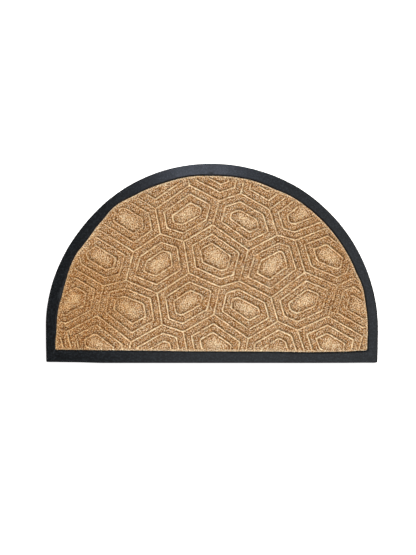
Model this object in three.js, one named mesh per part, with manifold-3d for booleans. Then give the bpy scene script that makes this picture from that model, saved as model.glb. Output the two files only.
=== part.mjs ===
// Half round doormat: a tan pile panel, pressed with a tortoiseshell pattern, lying in a moulded rubber tray.
// Millimetres, +Z up. The origin is on the floor under the middle of the mat, +X runs along the straight
// edge, and +Y points from the straight edge to the round one.

import * as THREE from "three";
import Module from "manifold-3d";

const wasm = await Module();
wasm.setup();

// Overall size: a half circle on a short straight stretch
const LENGTH = 750;
const DEPTH = 450;
const ARC_RADIUS = LENGTH / 2;
const FRONT_Y = -DEPTH / 2;
const ARC_CENTRE_Y = DEPTH / 2 - ARC_RADIUS;

// Rubber tray: a thin floor with a flat raised border round it
const FLOOR_THICKNESS = 2.5;
const BORDER_TOP = 7.5;
const BORDER_WIDTH = 25;
const EDGE_ROUND = 1.5;
const INNER_SLOPE = 3.5;
const INNER_SLOPE_FOOT = 5.0;
const CLEARANCE = 0.36;
const CORNER_ROUND = 3;

// Pile panel, lying a hair above the floor of the tray
const PILE_BOTTOM = FLOOR_THICKNESS + 0.3;
const PILE_TOP = 6.2;
const PILE_EDGE_ROUND = 1.2;
const CROWN = { rise: 0.7, topScale: 0.6, sunk: 0.5, fromGroove: 0.6 };
const GROOVE = { depth: 2.2, topWidth: 5.2, floorWidth: 1.4 };

// How unevenly the border is cut: how far its outer edge stands out, and how wide it is.
// On the arc, at counts degrees round its centre, from the right end over the top to the left end.
const ARC_ROWS = [
  { at: 0, out: 0, band: 23.3 },
  { at: 8, out: 0.1, band: 23.6 },
  { at: 16, out: -0.2, band: 21.5 },
  { at: 22, out: -0.3, band: 24.5 },
  { at: 44, out: 0, band: 25.0 },
  { at: 58, out: 0.5, band: 25.4 },
  { at: 66, out: 0.1, band: 28.0 },
  { at: 74, out: -0.4, band: 26.0 },
  { at: 90, out: 0, band: 27.9 },
  { at: 98, out: 0.4, band: 26.4 },
  { at: 108, out: 0.9, band: 27.5 },
  { at: 119, out: 0.8, band: 26.0 },
  { at: 128, out: 0, band: 20.6 },
  { at: 136, out: -1.1, band: 24.6 },
  { at: 144, out: -1.3, band: 27.0 },
  { at: 152, out: -0.5, band: 23.4 },
  { at: 166, out: 0.6, band: 28.4 },
  { at: 174, out: 0.8, band: 25.2 },
  { at: 180, out: 0, band: 23.9 },
];

// On the short straight sides, at is the distance down from the end of the arc
const LEFT_ROWS = [
  { at: 0, out: 0, band: 23.9 },
  { at: 30, out: -0.2, band: 21.2 },
  { at: 75, out: -1.0, band: 21.0 },
];
const RIGHT_ROWS = [
  { at: 0, out: 0, band: 23.3 },
  { at: 40, out: -0.6, band: 24.0 },
  { at: 75, out: -1.6, band: 23.8 },
];

// On the straight front edge, at is the place along X
const FRONT_ROWS = [
  { at: -375, out: -2.4, band: 27.5 },
  { at: -320, out: -1.7, band: 28.0 },
  { at: -240, out: 0, band: 28.6 },
  { at: -140, out: 0, band: 27.6 },
  { at: -40, out: 0, band: 26.2 },
  { at: 120, out: 0, band: 25.6 },
  { at: 215, out: 0, band: 24.3 },
  { at: 290, out: -0.1, band: 25.0 },
  { at: 350, out: -0.5, band: 27.6 },
  { at: 375, out: -0.6, band: 28.0 },
];

// The plain rim of the pile, where no groove is pressed: its width round the arc and along the front
const RIM_ROWS = [
  { at: 0, wide: 5 },
  { at: 60, wide: 5 },
  { at: 90, wide: 4 },
  { at: 112, wide: 7 },
  { at: 150, wide: 8 },
  { at: 180, wide: 6 },
];
const FRONT_RIM = 4;

// Steps round the outline
const ARC_STEP_DEGREES = 3;
const SIDE_STEPS = 4;
const FRONT_STEPS = 30;
const CORNER_STEPS = 3;

// The pressed pattern: long hexagons, each with two more grooves inside it. Half a turn about a centre and
// two slides with a flip carry one hexagon to all the others, so two of its corners settle the repeat.
const REPEAT = { across: 259.7, up: 197.7, centreX: -88.8, centreY: 153.5 };
const TOP_CORNER = { x: 38.9, y: 27.7 };
const SIDE_CORNER = { x: 107.3, y: -7.5 };
const RING_INSETS = [0, 17.3, 34.2];
const REPEATS_EACH_WAY = 3;

// The pressing tool was cut by hand: each row moves the corners along one axis in a shallow wave,
// with its radians for each millimetre along X and Y, its swing and its start in degrees.
const HAND_WAVES = [
  { moves: "x", alongX: 0.08, alongY: -0.03, swing: 3.0, start: 165 },
  { moves: "x", alongX: 0.0425, alongY: 0.015, swing: 2.4, start: 141 },
  { moves: "y", alongX: 0.0075, alongY: 0.035, swing: 3.8, start: -42 },
  { moves: "y", alongX: 0.02, alongY: -0.045, swing: 3.5, start: -6 },
];

// How far the cutting shapes reach past the surfaces that they cut
const OVERCUT = 1;

const RUBBER = { color: 0x2f3237, roughness: 0.7, metalness: 0 };
const PILE = { color: 0xb58a5e, roughness: 1, metalness: 0 };

// The value of one column at a place, easing from one row to the next
function columnAt(rows, at, column) {
  let index = 1;
  while (index < rows.length - 1 && rows[index].at < at) {
    index += 1;
  }
  const before = rows[index - 1];
  const after = rows[index];
  const share = THREE.MathUtils.smoothstep(at, before.at, after.at);
  return THREE.MathUtils.lerp(before[column], after[column], share);
}

// Each station of the outline holds a point of the outer edge, the point of the pile's edge that faces it,
// and the width of the pile's plain rim there.
function arcStation(degrees) {
  const turn = THREE.MathUtils.degToRad(degrees);
  const outerRadius = ARC_RADIUS + columnAt(ARC_ROWS, degrees, "out");
  const innerRadius = outerRadius - columnAt(ARC_ROWS, degrees, "band");
  const onRay = (radius) =>
    new THREE.Vector2(radius * Math.cos(turn), ARC_CENTRE_Y + radius * Math.sin(turn));
  return { outer: onRay(outerRadius), inner: onRay(innerRadius), rim: columnAt(RIM_ROWS, degrees, "wide") };
}

function sideX(rows, y, isInner) {
  const drop = ARC_CENTRE_Y - y;
  const outerX = ARC_RADIUS + columnAt(rows, drop, "out");
  return isInner ? outerX - columnAt(rows, drop, "band") : outerX;
}

function frontY(x, isInner) {
  const outerY = FRONT_Y - columnAt(FRONT_ROWS, x, "out");
  return isInner ? outerY + columnAt(FRONT_ROWS, x, "band") : outerY;
}

// Where a straight side would meet the front edge if the corner were sharp
function sharpCorner(side, rows, isInner) {
  const y = frontY(side * sideX(rows, FRONT_Y, isInner), isInner);
  return new THREE.Vector2(side * sideX(rows, y, isInner), y);
}

function sideStation(side, rows, share) {
  const point = (isInner) => {
    const y = THREE.MathUtils.lerp(ARC_CENTRE_Y, sharpCorner(side, rows, isInner).y, share);
    return new THREE.Vector2(side * sideX(rows, y, isInner), y);
  };
  return { outer: point(false), inner: point(true), rim: columnAt(RIM_ROWS, side > 0 ? 0 : 180, "wide") };
}

function frontStation(share) {
  const point = (isInner) => {
    const from = sharpCorner(-1, LEFT_ROWS, isInner).x;
    const to = sharpCorner(1, RIGHT_ROWS, isInner).x;
    const x = THREE.MathUtils.lerp(from, to, share);
    return new THREE.Vector2(x, frontY(x, isInner));
  };
  return { outer: point(false), inner: point(true), rim: FRONT_RIM };
}

// A small rounded corner, from the side down to the front edge
function cornerStations(side, rows) {
  const roundedCorner = (isInner) => {
    const corner = sharpCorner(side, rows, isInner);
    const onSide = corner.clone().add(new THREE.Vector2(0, CORNER_ROUND));
    const onFront = corner.clone().add(new THREE.Vector2(-side * CORNER_ROUND, 0));
    return new THREE.QuadraticBezierCurve(onSide, corner, onFront).getPoints(CORNER_STEPS);
  };
  const inner = roundedCorner(true);
  return roundedCorner(false).map((outer, index) => ({ outer, inner: inner[index], rim: FRONT_RIM }));
}

// All stations, counter-clockwise seen from above, from the right end of the arc
function outlineStations() {
  const stations = [];
  for (let degrees = 0; degrees <= 180; degrees += ARC_STEP_DEGREES) {
    stations.push(arcStation(degrees));
  }
  for (let step = 1; step < SIDE_STEPS; step += 1) {
    stations.push(sideStation(-1, LEFT_ROWS, step / SIDE_STEPS));
  }
  stations.push(...cornerStations(-1, LEFT_ROWS));
  for (let step = 1; step < FRONT_STEPS; step += 1) {
    stations.push(frontStation(step / FRONT_STEPS));
  }
  stations.push(...cornerStations(1, RIGHT_ROWS).reverse());
  for (let step = SIDE_STEPS - 1; step > 0; step -= 1) {
    stations.push(sideStation(1, RIGHT_ROWS, step / SIDE_STEPS));
  }
  return stations;
}

const STATIONS = outlineStations();

// A loop round the mat: from the outer edge inwards, or from the pile's edge, in millimetres of the border
function loopFromOuter(inwards, z) {
  const share = inwards / BORDER_WIDTH;
  return { z, points: STATIONS.map(({ outer, inner }) => outer.clone().lerp(inner, share)) };
}

function loopFromPile(inwards, z) {
  return loopFromOuter(BORDER_WIDTH + inwards, z);
}

function loopInsideRim(z) {
  const points = STATIONS.map(({ outer, inner, rim }) => outer.clone().lerp(inner, 1 + rim / BORDER_WIDTH));
  return { z, points };
}

// Vertices and triangles of a closed solid through loops of equal length. It is capped at its first and
// last loops, or, where isRing is set, the last loop joins the first.
function solidThrough(loops, isRing = false) {
  const count = loops[0].points.length;
  const vertices = loops.flatMap(({ points, z }) => points.flatMap(({ x, y }) => [x, y, z]));
  const triangles = [];
  const strips = isRing ? loops.length : loops.length - 1;
  for (let strip = 0; strip < strips; strip += 1) {
    const low = strip * count;
    const high = ((strip + 1) % loops.length) * count;
    for (let index = 0; index < count; index += 1) {
      const next = (index + 1) % count;
      triangles.push(low + index, low + next, high + next, low + index, high + next, high + index);
    }
  }
  if (!isRing) {
    const top = (loops.length - 1) * count;
    for (const [a, b, c] of THREE.ShapeUtils.triangulateShape(loops[0].points, [])) {
      triangles.push(c, b, a);
    }
    for (const [a, b, c] of THREE.ShapeUtils.triangulateShape(loops.at(-1).points, [])) {
      triangles.push(top + a, top + b, top + c);
    }
  }
  return { vertices, triangles };
}

function asManifold({ vertices, triangles }) {
  const vertProperties = new Float32Array(vertices);
  const triVerts = new Uint32Array(triangles);
  return new wasm.Manifold(new wasm.Mesh({ numProp: 3, vertProperties, triVerts }));
}

function asGeometry(vertices, triangles) {
  const geometry = new THREE.BufferGeometry();
  geometry.setAttribute("position", new THREE.Float32BufferAttribute(vertices, 3));
  geometry.setIndex([...triangles]);
  geometry.computeVertexNormals();
  return geometry;
}

function joined(solids) {
  return solids.reduce((all, solid) => all.add(solid));
}

// Rubber tray: up the outer wall, over the flat border, down the slope beside the pile, to the tray's floor
function trayGeometry() {
  const quarter = EDGE_ROUND * (1 - Math.SQRT1_2);
  const { vertices, triangles } = solidThrough([
    loopFromOuter(0, 0),
    loopFromOuter(0, BORDER_TOP - EDGE_ROUND),
    loopFromOuter(quarter, BORDER_TOP - quarter),
    loopFromOuter(EDGE_ROUND, BORDER_TOP),
    loopFromPile(-INNER_SLOPE, BORDER_TOP),
    loopFromPile(-CLEARANCE, INNER_SLOPE_FOOT),
    loopFromPile(-CLEARANCE, FLOOR_THICKNESS),
  ]);
  return asGeometry(vertices, triangles);
}

// How far the hand-cut tool puts a corner off its true place
function handOffset(x, y, axis) {
  return HAND_WAVES.filter(({ moves }) => moves === axis).reduce((sum, wave) => {
    const phase = wave.alongX * x + wave.alongY * y + THREE.MathUtils.degToRad(wave.start);
    return sum + wave.swing * Math.sin(phase);
  }, 0);
}

// The hexagon about the repeat's centre, counter-clockwise, before it is flipped and slid
function firstHexagon() {
  const half = { x: REPEAT.across / 2, y: REPEAT.up / 2 };
  return [
    { x: TOP_CORNER.x, y: TOP_CORNER.y },
    { x: -TOP_CORNER.x, y: -TOP_CORNER.y },
    { x: SIDE_CORNER.x - half.x, y: -half.y - SIDE_CORNER.y },
    { x: half.x - SIDE_CORNER.x, y: SIDE_CORNER.y - half.y },
    { x: half.x - TOP_CORNER.x, y: TOP_CORNER.y - half.y },
    { x: SIDE_CORNER.x, y: SIDE_CORNER.y },
  ];
}

// One copy of the hexagon, with each corner moved by the hand-cut tool
function hexagonCopy(flip, column, row) {
  const corners = firstHexagon().map(({ x, y }) => {
    const trueX = REPEAT.centreX + flip.x * x + (column + flip.slide) * REPEAT.across;
    const trueY = REPEAT.centreY + flip.y * y - (row + flip.slide) * REPEAT.up;
    const moved = new THREE.Vector2(handOffset(trueX, trueY, "x"), handOffset(trueX, trueY, "y"));
    return moved.add(new THREE.Vector2(trueX, trueY));
  });
  return flip.x * flip.y < 0 ? corners.reverse() : corners;
}

// All hexagons that reach the mat
function hexagons() {
  const flips = [
    { x: 1, y: 1, slide: 0 },
    { x: -1, y: -1, slide: 0 },
    { x: -1, y: 1, slide: 0.5 },
    { x: 1, y: -1, slide: 0.5 },
  ];
  const found = [];
  for (let column = -REPEATS_EACH_WAY; column <= REPEATS_EACH_WAY; column += 1) {
    for (let row = -REPEATS_EACH_WAY; row <= REPEATS_EACH_WAY; row += 1) {
      found.push(...flips.map((flip) => hexagonCopy(flip, column, row)));
    }
  }
  const arcCentre = new THREE.Vector2(0, ARC_CENTRE_Y);
  return found.filter((corners) =>
    corners.some((corner) => corner.y > FRONT_Y && corner.distanceTo(arcCentre) < ARC_RADIUS),
  );
}

// Where the two sides that meet at a corner cross once both are moved inwards by a distance
function insetPolygon(corners, distance) {
  const sides = corners.map((corner, index) => {
    const along = corners[(index + 1) % corners.length].clone().sub(corner).normalize();
    const point = corner.clone().add(new THREE.Vector2(-along.y, along.x).multiplyScalar(distance));
    return { point, along };
  });
  return sides.map((side, index) => {
    const before = sides.at(index - 1);
    const gap = side.point.clone().sub(before.point);
    const reach = gap.cross(side.along) / before.along.cross(side.along);
    return before.point.clone().addScaledVector(before.along, reach);
  });
}

// Half the width of a groove at a height, along its sloping walls
function grooveHalfWidth(z) {
  const share = (z - (PILE_TOP - GROOVE.depth)) / GROOVE.depth;
  return THREE.MathUtils.lerp(GROOVE.floorWidth, GROOVE.topWidth, share) / 2;
}

// What stands between the grooves of one hexagon: an outer band, an inner band and the middle panel
function standingSolids(corners) {
  const heights = [PILE_TOP - GROOVE.depth - OVERCUT, PILE_TOP + OVERCUT];
  const loop = (inset, side, z) => ({ z, points: insetPolygon(corners, inset + side * grooveHalfWidth(z)) });
  const [low, high] = heights;
  return RING_INSETS.map((inset, ring) => {
    const outside = [loop(inset, 1, low), loop(inset, 1, high)];
    if (ring === RING_INSETS.length - 1) {
      return asManifold(solidThrough(outside));
    }
    const next = RING_INSETS[ring + 1];
    return asManifold(solidThrough([...outside, loop(next, -1, high), loop(next, -1, low)], true));
  });
}

// The low crown of a middle panel: its outline, drawn in towards its middle as it rises
function crownSolid(corners) {
  const edge = insetPolygon(corners, RING_INSETS.at(-1) + GROOVE.topWidth / 2 + CROWN.fromGroove);
  const middle = edge.reduce((sum, corner) => sum.add(corner), new THREE.Vector2()).divideScalar(edge.length);
  const loop = (rise, scale) => ({
    z: PILE_TOP + rise,
    points: edge.map((corner) => middle.clone().lerp(corner, scale)),
  });
  return asManifold(solidThrough([loop(-CROWN.sunk, 1), loop(0, 1), loop(CROWN.rise, CROWN.topScale)]));
}

// Pile panel: a slab with a rounded edge, less the grooves, with a crown on each middle panel
function pileGeometry() {
  const cells = hexagons();
  const slab = asManifold(
    solidThrough([
      loopFromPile(0, PILE_BOTTOM),
      loopFromPile(0, PILE_TOP - PILE_EDGE_ROUND),
      loopFromPile(PILE_EDGE_ROUND, PILE_TOP),
    ]),
  );
  const pressed = [loopInsideRim(PILE_TOP - GROOVE.depth), loopInsideRim(PILE_TOP + OVERCUT / 2)];
  const grooves = asManifold(solidThrough(pressed)).subtract(joined(cells.flatMap(standingSolids)));
  const crownLimit = [loopInsideRim(PILE_TOP - CROWN.rise), loopInsideRim(PILE_TOP + CROWN.rise + OVERCUT)];
  const crowns = joined(cells.map(crownSolid)).intersect(asManifold(solidThrough(crownLimit)));
  const { vertProperties, triVerts } = slab.subtract(grooves).add(crowns).getMesh();
  return asGeometry(vertProperties, triVerts);
}

function namedMesh(name, geometry, finish) {
  const mesh = new THREE.Mesh(geometry, new THREE.MeshStandardMaterial(finish));
  mesh.name = name;
  return mesh;
}

const doormat = new THREE.Group();
doormat.add(namedMesh("rubber_tray", trayGeometry(), RUBBER));
doormat.add(namedMesh("pile_panel", pileGeometry(), PILE));

export default doormat;
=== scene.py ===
"""Half round doormat: a pressed tan pile panel lying in a moulded black rubber tray.

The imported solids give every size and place. This script reads their loops, models both pieces finer round
them, gives them their finishes, and sets a pale floor, studio light and a camera straight above.
"""

import logging
import math
from dataclasses import dataclass, field
from enum import Enum

import bmesh
import bpy
import numpy as np
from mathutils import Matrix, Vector, noise


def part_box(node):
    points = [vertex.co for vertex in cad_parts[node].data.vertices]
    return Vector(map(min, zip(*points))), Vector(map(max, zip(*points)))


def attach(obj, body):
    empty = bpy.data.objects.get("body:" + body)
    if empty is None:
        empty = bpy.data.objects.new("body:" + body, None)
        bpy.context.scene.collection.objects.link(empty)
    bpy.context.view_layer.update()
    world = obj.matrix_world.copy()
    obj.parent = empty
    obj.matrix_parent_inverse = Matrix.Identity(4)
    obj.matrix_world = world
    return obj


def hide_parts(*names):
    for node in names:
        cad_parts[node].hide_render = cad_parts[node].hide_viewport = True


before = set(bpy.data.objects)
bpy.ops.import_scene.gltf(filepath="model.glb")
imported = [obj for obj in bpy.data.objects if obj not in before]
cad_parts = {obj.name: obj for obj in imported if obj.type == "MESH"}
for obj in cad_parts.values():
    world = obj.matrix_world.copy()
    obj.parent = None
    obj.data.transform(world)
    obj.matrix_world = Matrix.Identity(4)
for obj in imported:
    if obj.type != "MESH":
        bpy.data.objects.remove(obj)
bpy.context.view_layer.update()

LOG = logging.getLogger("doormat")

MM = 0.001
TRAY_NODE = "rubber_tray"
PILE_NODE = "pile_panel"
# Two places closer than this are the same
NEAR = 0.01 * MM
# Nearly all values of a noise texture lie between these two
NOISE_LOW = 0.3
NOISE_HIGH = 0.7
# The tint of pile that feet have browned
WORN_TINT = "#f1e5d3"
# The map for the bake has spare room round the pile, and holds the underside, drawn smaller, above the rest
MAP_SPARE = 6 * MM
UNDERSIDE_SCALE = 0.7
UNDERSIDE_SHIFT = 0.6

Faces = list[list[int]]
Inputs = dict[str | int, object]


def linear(colour: str) -> tuple[float, float, float, float]:
    """Turn an sRGB hex colour into linear red, green, blue and alpha.

    Args:
        colour: The colour, as "#rrggbb".

    Returns:
        The four linear channels.
    """
    channels = [int(colour[start : start + 2], 16) / 255 for start in (1, 3, 5)]
    curve = [c / 12.92 if c <= 0.04045 else ((c + 0.055) / 1.055) ** 2.4 for c in channels]
    return curve[0], curve[1], curve[2], 1.0


def smooth(values: np.ndarray, start: float, end: float) -> np.ndarray:
    """Ease from 0 at start to 1 at end.

    Args:
        values: Where to read the curve.
        start: The last place where it is 0.
        end: The first place where it is 1.

    Returns:
        The eased values.
    """
    share = np.clip((values - start) / (end - start), 0.0, 1.0)
    return share * share * (3 - 2 * share)


def set_inputs(tree: bpy.types.NodeTree, node: bpy.types.Node, inputs: Inputs) -> None:
    """Set a node's inputs, or link them.

    Args:
        tree: The node tree.
        node: The node.
        inputs: From an input's name or number to its value, or to the output socket that feeds it.
    """
    for key, value in inputs.items():
        if isinstance(value, bpy.types.NodeSocket):
            tree.links.new(value, node.inputs[key])
        else:
            node.inputs[key].default_value = value


def add_node(
    tree: bpy.types.NodeTree, kind: str, output: str, inputs: Inputs | None = None, **settings: object
) -> bpy.types.NodeSocket:
    """Add a node with its settings and links.

    Args:
        tree: The node tree to add to.
        kind: The node's type name, without "ShaderNode".
        output: The name of the output that is wanted.
        inputs: The inputs, as set_inputs takes them.
        **settings: The node's own properties.

    Returns:
        The socket of that output.
    """
    node = tree.nodes.new("ShaderNode" + kind)
    for name, value in settings.items():
        setattr(node, name, value)
    set_inputs(tree, node, inputs or {})
    return node.outputs[output]


def new_material(name: str) -> tuple[bpy.types.Material, bpy.types.NodeTree, bpy.types.Node]:
    """Make a material.

    Args:
        name: Its name.

    Returns:
        The material, its node tree and its shader.
    """
    made = bpy.data.materials.new(name)
    made.use_nodes = True
    return made, made.node_tree, made.node_tree.nodes["Principled BSDF"]


def spread_noise(value: bpy.types.NodeSocket, least: float, most: float) -> Inputs:
    """Return the inputs of a node that maps nearly all of a noise onto least to most."""
    return {"Value": value, "From Min": NOISE_LOW, "From Max": NOISE_HIGH, "To Min": least, "To Max": most}


def weathered(
    tree: bpy.types.NodeTree, colour: object, clouds: bpy.types.NodeSocket, spread: float
) -> bpy.types.NodeSocket:
    """Brown a colour where the pile is worn, and make it lighter and darker by a noise.

    Args:
        tree: The material's node tree.
        colour: The colour, or the socket that gives it.
        clouds: The noise.
        spread: How much lighter and darker it gets, as a share.

    Returns:
        The colour's socket.
    """
    worn = add_node(tree, "Attribute", "Fac", attribute_name="worn")
    tint = {"Fac": worn, "Color1": colour, "Color2": linear(WORN_TINT)}
    tinted = add_node(tree, "MixRGB", "Color", tint, blend_type="MULTIPLY")
    lighter = add_node(tree, "MapRange", "Result", spread_noise(clouds, 1 - spread, 1 + spread))
    return add_node(tree, "VectorMath", "Vector", {0: tinted, "Scale": lighter}, operation="SCALE")


def place_in_scene(name: str, data: bpy.types.ID) -> bpy.types.Object:
    """Put a mesh, a light or a camera into the scene.

    Args:
        name: The object's name.
        data: What it shows.

    Returns:
        The object.
    """
    placed = bpy.data.objects.new(name, data)
    bpy.context.scene.collection.objects.link(placed)
    return placed


def new_piece(name: str, points: np.ndarray, faces: Faces) -> bpy.types.Object:
    """Make a piece with soft shading.

    Args:
        name: Its name.
        points: Its points.
        faces: Its faces.

    Returns:
        The piece.
    """
    mesh = bpy.data.meshes.new(name)
    mesh.from_pydata(points.tolist(), [], faces)
    mesh.shade_smooth()
    return place_in_scene(name, mesh)


def write_mark(mesh: bpy.types.Mesh, name: str, values: np.ndarray) -> None:
    """Write one value for each vertex, which the finish reads by its name."""
    mesh.attributes.new(name, "FLOAT", "POINT").data.foreach_set("value", values.astype(np.float32))


def read_all(
    items: bpy.types.bpy_prop_collection, name: str, width: int = 1, kind: type = np.float32
) -> np.ndarray:
    """Read one property of every item of a mesh.

    Args:
        items: The items.
        name: The property.
        width: How many numbers it has.
        kind: Their type.

    Returns:
        A number for each item, or a row where it has more.
    """
    values = np.zeros(len(items) * width, kind)
    items.foreach_get(name, values)
    return values.reshape(-1, width) if width > 1 else values


class Layer(Enum):
    """The height at which each use of the plane's noise reads it, so that no two are alike."""

    LUMPS = 1.3
    ROUGH_FLOOR = 2.3
    WANDER_ACROSS = 3.1
    SWELLS = 5.9
    WANDER_UP = 7.7
    ROUGH_SHOULDER = 9.1


def noise_at(points: np.ndarray, grain: float, layer: Layer) -> np.ndarray:
    """Read smooth noise from about -1 to 1 at points of the plane.

    Args:
        points: The points, one row each.
        grain: The size of a lump, in the unit of the points.
        layer: What the noise is for.

    Returns:
        One value for each point.
    """
    return np.array([noise.noise(Vector((x / grain, y / grain, layer.value))) for x, y in points])


def lay_map(mesh: bpy.types.Mesh, places: np.ndarray, under: int = 0) -> None:
    """Give a mesh a map of its own that looks straight down, as wide as the pile.

    Args:
        mesh: The mesh.
        places: Each vertex's place in the map, in metres.
        under: How many corners at the end of the mesh belong to the underside, which goes above the rest.
    """
    low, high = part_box(PILE_NODE)
    across = high.x - low.x + 2 * MAP_SPARE
    corners = read_all(mesh.loops, "vertex_index", kind=np.int32)
    spots = (places[corners] - (low.x - MAP_SPARE, low.y - MAP_SPARE)) / across
    if under:
        spots[-under:] = spots[-under:] * UNDERSIDE_SCALE + (0.0, UNDERSIDE_SHIFT)
    layer = mesh.uv_layers.new(name="OFBake")
    layer.data.foreach_set("uv", spots.astype(np.float32).ravel())


@dataclass
class Outline:
    """The mat's outer edge and the pile's edge, read from the solids, with the same number of points."""

    steps_between: int = 3
    nominal_border: float = 25 * MM
    # Turns the start of a loop back, so that its first point never counts as its last
    head_start: float = math.radians(0.5)
    # This many points are measured at a time, to spare memory
    batch: int = 8192
    outer: np.ndarray = field(init=False)
    pile: np.ndarray = field(init=False)
    arc_centre: np.ndarray = field(init=False)

    def __post_init__(self) -> None:
        """Read both loops."""
        _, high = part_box(TRAY_NODE)
        self.arc_centre = np.array([0.0, high.y - high.x])
        self.outer = self._finer(self._lowest_loop(TRAY_NODE))
        self.pile = self._finer(self._lowest_loop(PILE_NODE))

    def _lowest_loop(self, node: str) -> np.ndarray:
        """Read the points of a node's underside.

        Args:
            node: The node's name.

        Returns:
            The points, counter-clockwise from the right end of the arc.
        """
        places = np.array([vertex.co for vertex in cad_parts[node].data.vertices])
        lowest = places[places[:, 2] < places[:, 2].min() + NEAR, :2]
        loop = np.unique(lowest.round(7), axis=0)
        return loop[np.argsort((self.turn_of(loop) + self.head_start) % math.tau)]

    def turn_of(self, points: np.ndarray) -> np.ndarray:
        """Return the angle of points round the arc's centre, in radians."""
        away = points - self.arc_centre
        return np.arctan2(away[:, 1], away[:, 0])

    def _finer(self, loop: np.ndarray) -> np.ndarray:
        """Draw a smooth closed curve through a loop.

        Args:
            loop: The loop's points.

        Returns:
            The curve's points, with steps_between times as many points as the loop.
        """
        before, here, after, beyond = (np.roll(loop, shift, axis=0) for shift in (1, 0, -1, -2))
        first, middle, last = (
            np.sqrt(np.linalg.norm(end - start, axis=1))[:, None]
            for start, end in ((before, here), (here, after), (after, beyond))
        )
        leaving = (here - before) / first - (after - before) / (first + middle) + (after - here) / middle
        reaching = (after - here) / middle - (beyond - here) / (middle + last) + (beyond - after) / last
        rows = []
        for step in range(self.steps_between):
            t = step / self.steps_between
            rows.append(
                (2 * t**3 - 3 * t**2 + 1) * here
                + (t**3 - 2 * t**2 + t) * middle * leaving
                + (3 * t**2 - 2 * t**3) * after
                + (t**3 - t**2) * middle * reaching
            )
        return np.stack(rows, axis=1).reshape(-1, 2)

    def inwards(self, distance: float) -> np.ndarray:
        """Return the loop that lies a distance in from the outer edge, on the nominal border's scale."""
        return self.outer + (self.pile - self.outer) * distance / self.nominal_border

    def from_pile_edge(self, points: np.ndarray) -> tuple[np.ndarray, np.ndarray]:
        """Measure how far inside the pile's edge points lie.

        Args:
            points: The points, in metres.

        Returns:
            The distances, negative outside the edge, and the nearest points of the edge.
        """
        start = self.pile
        side = np.roll(start, -1, axis=0) - start
        length_squared = (side**2).sum(axis=1)
        distances, nearest = [], []
        for some in np.array_split(points, len(points) // self.batch + 1):
            away = some[:, None] - start
            share = np.clip((away * side).sum(axis=2) / length_squared, 0, 1)
            gap = away - share[..., None] * side
            closest = (gap**2).sum(axis=2).argmin(axis=1)
            row = np.arange(len(some))
            near = gap[row, closest]
            left = side[closest, 0] * away[row, closest, 1] - side[closest, 1] * away[row, closest, 0]
            distances.append(np.hypot(near[:, 0], near[:, 1]) * np.where(left >= 0, 1, -1))
            nearest.append(some - near)
        return np.concatenate(distances), np.concatenate(nearest)


@dataclass(frozen=True)
class Grain:
    """One noise in a finish: the size of its lumps, its detail and its roughness."""

    size: float
    detail: float = 2.0
    roughness: float = 0.5

    def inputs(self, place: bpy.types.NodeSocket) -> Inputs:
        """Return the inputs of its node."""
        return {"Vector": place, "Scale": 1 / self.size, "Detail": self.detail, "Roughness": self.roughness}


@dataclass(frozen=True)
class MouldedRubber:
    """Natural rubber, vulcanised in a sandblasted steel mould.

    It is nearly black and matt, with a fine grain from the mould, a broad soft sheen where the light is
    mirrored, and faint rubbed streaks.
    """

    dark: str = "#010203"
    light: str = "#23282d"
    # The mould's real grain is 0.3 mm; it is drawn as coarse as shows from a step away
    grain: Grain = Grain(3.4 * MM, 3.0, 0.6)
    grain_height: float = 0.2 * MM
    grain_strength: float = 0.8
    specks_from: float = 0.46
    specks_full: float = 0.66
    blotch: Grain = Grain(22 * MM, 4.0, 0.65)
    roughness_low: float = 0.38
    roughness_high: float = 0.46
    ior: float = 1.52

    def material(self) -> bpy.types.Material:
        """Make the finish.

        Returns:
            The material.
        """
        made, tree, shader = new_material("moulded_black_rubber")
        place = add_node(tree, "TexCoord", "Object")
        grain = add_node(tree, "TexNoise", "Fac", self.grain.inputs(place))
        blotch = add_node(tree, "TexNoise", "Fac", self.blotch.inputs(place))
        limits = {"Value": grain, "From Min": self.specks_from, "From Max": self.specks_full}
        specks = add_node(tree, "MapRange", "Result", limits)
        mix = {"Fac": specks, "Color1": linear(self.dark), "Color2": linear(self.light)}
        tone = add_node(tree, "MixRGB", "Color", mix)
        gloss = spread_noise(blotch, self.roughness_low, self.roughness_high)
        rubbed = add_node(tree, "MapRange", "Result", gloss)
        relief = {"Height": grain, "Distance": self.grain_height, "Strength": self.grain_strength}
        bump = add_node(tree, "Bump", "Normal", relief)
        set_inputs(tree, shader, {"Base Color": tone, "Roughness": rubbed, "Normal": bump, "IOR": self.ior})
        return made


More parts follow.
